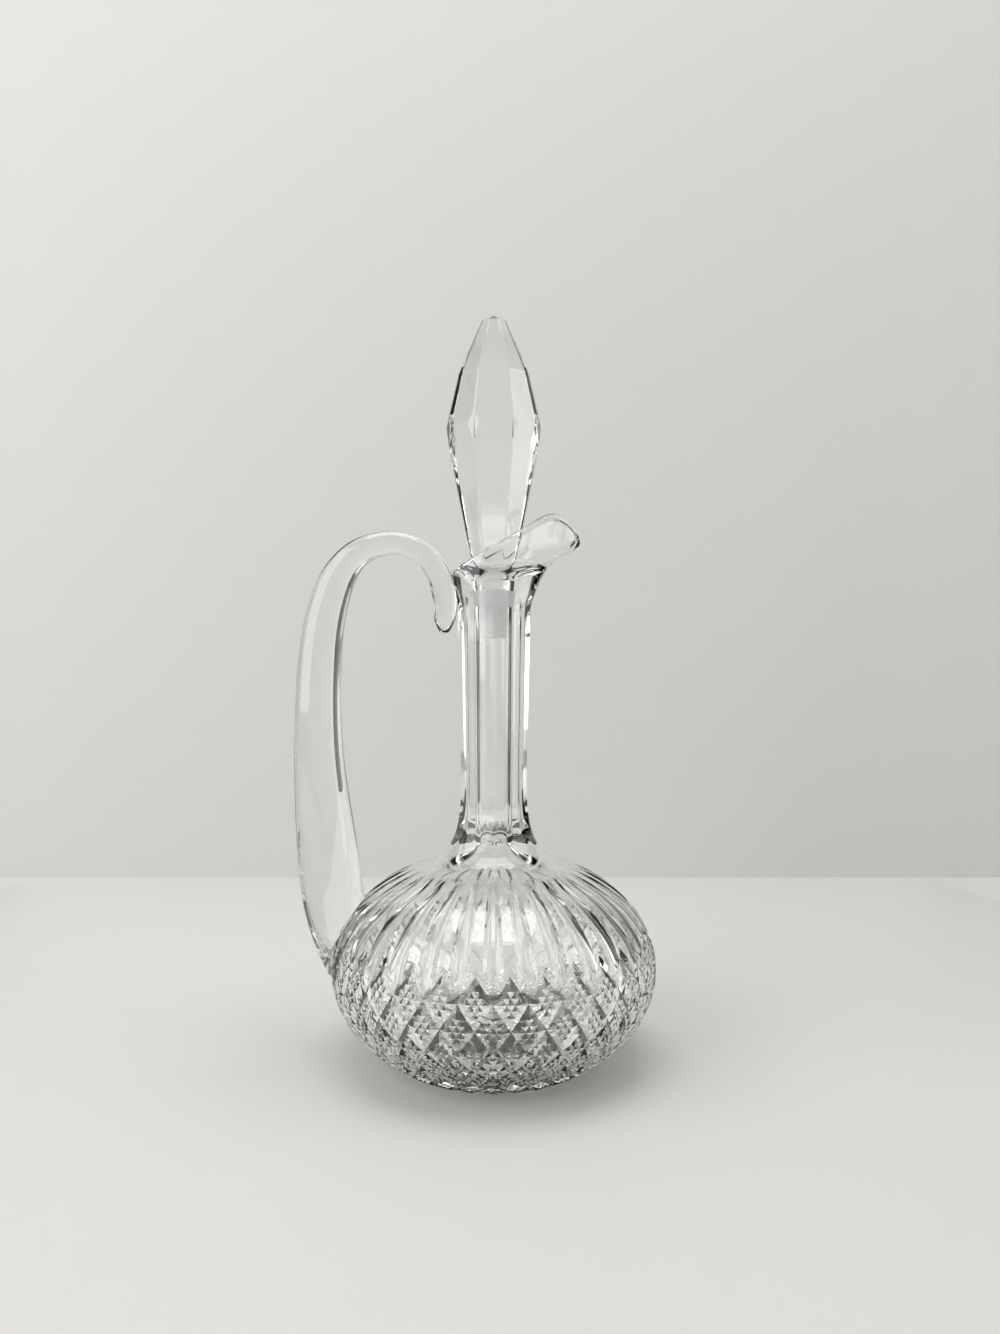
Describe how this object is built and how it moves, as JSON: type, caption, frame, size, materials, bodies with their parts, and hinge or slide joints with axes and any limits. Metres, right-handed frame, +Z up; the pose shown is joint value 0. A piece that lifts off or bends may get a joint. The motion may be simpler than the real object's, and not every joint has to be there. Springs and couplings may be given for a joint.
{
  "type": "cut glass claret ewer",
  "caption": "Clear cut glass ewer with a squat diamond-cut bulb, slim panelled neck, upturned pouring lip, loop handle and faceted lift-out stopper.",
  "frame": {"origin": "middle of the flat foot, on the surface the ewer stands on", "axes": "+Z up along the axis of the bulb, neck and stopper; +X towards the pouring lip, with the handle on the -X side"},
  "size_m": [0.1484, 0.1326, 0.302],
  "materials": {
    "body_glass": "polished",
    "handle_glass": "polished",
    "stopper_glass": "polished"
  },
  "bodies": {
    "ewer": {"ewer_body": "body_glass", "handle": "handle_glass"},
    "stopper": {"stopper": "stopper_glass"}
  },
  "joints": [
    {"name": "stopper_lift", "type": "slide", "parent": "ewer", "child": "stopper", "axis": [0, 0, 1], "range_m": [0, 0.08]}
  ]
}
